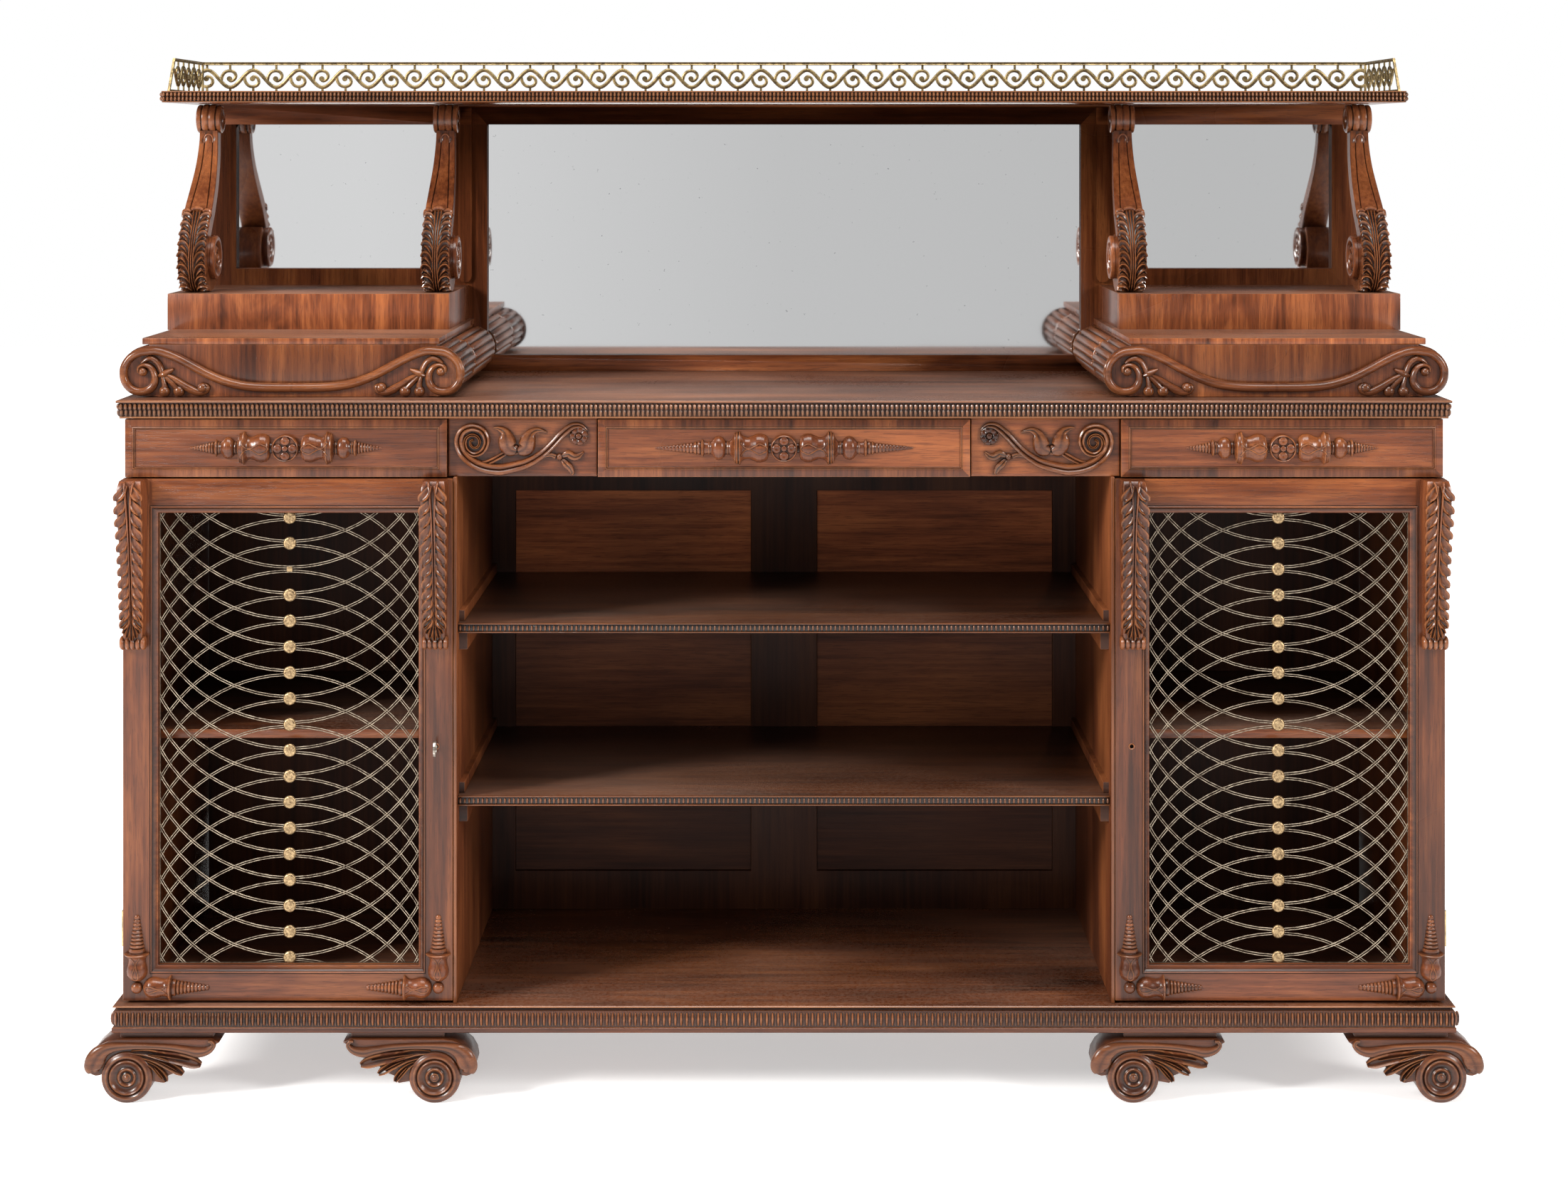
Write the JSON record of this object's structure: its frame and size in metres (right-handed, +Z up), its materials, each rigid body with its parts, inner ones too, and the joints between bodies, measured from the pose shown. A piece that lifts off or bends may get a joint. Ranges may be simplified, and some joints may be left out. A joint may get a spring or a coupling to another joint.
{
  "type": "side cabinet",
  "caption": "Mahogany side cabinet with grille doors beside an open shelved niche, frieze drawers, and a raised mirrored back on carved brackets under a galleried top.",
  "frame": {"origin": "Floor level, in the middle of the overall width and depth.", "axes": "+X to the right as seen from the front, +Y to the back, +Z up. The doors face -Y."},
  "size_m": [1.962, 0.5522, 1.4743],
  "materials": {
    "mahogany": "figured red-brown veneer under an old glossy polish",
    "carved_mahogany": "solid carved wood, polished, darker in the hollows",
    "interior_wood": "dark stained wood, dull",
    "gallery_brass": "aged, tarnished in the hollows",
    "lattice_brass": "dull, silvery with wear",
    "hinge_brass": "plain, dull",
    "key_steel": "darkened with age",
    "mirror": "silvered glass, slightly foxed"
  },
  "bodies": {
    "carcass": {"plinth_base": "mahogany", "foot_front_outer_left": "carved_mahogany", "foot_front_outer_right": "carved_mahogany", "foot_front_inner_left": "carved_mahogany", "foot_front_inner_right": "carved_mahogany", "foot_rear_left": "carved_mahogany", "foot_rear_right": "carved_mahogany", "end_panel_left": "mahogany", "end_panel_right": "mahogany", "partition_left": "mahogany", "partition_right": "mahogany", "back_panel": "interior_wood", "dust_board": "interior_wood", "top_slab": "mahogany", "frieze_panel_left": "carved_mahogany", "frieze_panel_right": "carved_mahogany", "niche_shelf_upper": "mahogany", "niche_shelf_lower": "mahogany", "cupboard_shelf_left": "interior_wood", "cupboard_shelf_right": "interior_wood", "scroll_end_left": "mahogany", "scroll_end_right": "mahogany", "pedestal_left": "mahogany", "pedestal_right": "mahogany", "bracket_outer_left": "carved_mahogany", "bracket_outer_right": "carved_mahogany", "bracket_inner_left": "carved_mahogany", "bracket_inner_right": "carved_mahogany", "mirror_frame": "mahogany", "mirror_glass_centre": "mirror", "mirror_glass_left": "mirror", "mirror_glass_right": "mirror", "mirror_backboard": "interior_wood", "top_board": "mahogany", "gallery": "gallery_brass", "hinge_lower_left_carcass_leaf": "hinge_brass", "hinge_upper_left_carcass_leaf": "hinge_brass", "hinge_lower_right_carcass_leaf": "hinge_brass", "hinge_upper_right_carcass_leaf": "hinge_brass"},
    "door_left": {"door_frame_left": "mahogany", "grille_left": "lattice_brass", "corbel_outer_left": "carved_mahogany", "corbel_inner_left": "carved_mahogany", "hinge_lower_left_door_leaf": "hinge_brass", "hinge_upper_left_door_leaf": "hinge_brass"},
    "door_right": {"door_frame_right": "mahogany", "grille_right": "lattice_brass", "corbel_outer_right": "carved_mahogany", "corbel_inner_right": "carved_mahogany", "hinge_lower_right_door_leaf": "hinge_brass", "hinge_upper_right_door_leaf": "hinge_brass"},
    "key": {"key": "key_steel"},
    "bolt_left": {"lock_bolt_left": "hinge_brass"},
    "bolt_right": {"lock_bolt_right": "hinge_brass"},
    "drawer_left": {"drawer_left": "mahogany", "drawer_handle_left": "carved_mahogany"},
    "drawer_centre": {"drawer_centre": "mahogany", "drawer_handle_centre": "carved_mahogany"},
    "drawer_right": {"drawer_right": "mahogany", "drawer_handle_right": "carved_mahogany"}
  },
  "joints": [
    {"name": "door_left_hinge", "type": "hinge", "parent": "carcass", "child": "door_left", "pos_m": [-0.9326, -0.2197, 0.1405], "axis": [0, 0, -1], "range_deg": [0, 105]},
    {"name": "door_right_hinge", "type": "hinge", "parent": "carcass", "child": "door_right", "pos_m": [0.9326, -0.2197, 0.1405], "axis": [0, 0, 1], "range_deg": [0, 105]},
    {"name": "key_turn", "type": "hinge", "parent": "door_left", "child": "key", "pos_m": [-0.4885, -0.24385, 0.4975], "axis": [0, 1, 0], "range_deg": [0, 90]},
    {"name": "bolt_left_slide", "type": "slide", "parent": "door_left", "child": "bolt_left", "axis": [1, 0, 0], "range_m": [0, 0.004]},
    {"name": "bolt_right_slide", "type": "slide", "parent": "door_right", "child": "bolt_right", "axis": [-1, 0, 0], "range_m": [0, 0.004]},
    {"name": "drawer_left_slide", "type": "slide", "parent": "carcass", "child": "drawer_left", "axis": [0, -1, 0], "range_m": [0, 0.32]},
    {"name": "drawer_centre_slide", "type": "slide", "parent": "carcass", "child": "drawer_centre", "axis": [0, -1, 0], "range_m": [0, 0.32]},
    {"name": "drawer_right_slide", "type": "slide", "parent": "carcass", "child": "drawer_right", "axis": [0, -1, 0], "range_m": [0, 0.32]}
  ],
  "couplings": [
    {"joint": "bolt_left_slide", "follows": "key_turn", "m_per_rad": 0.002546}
  ]
}
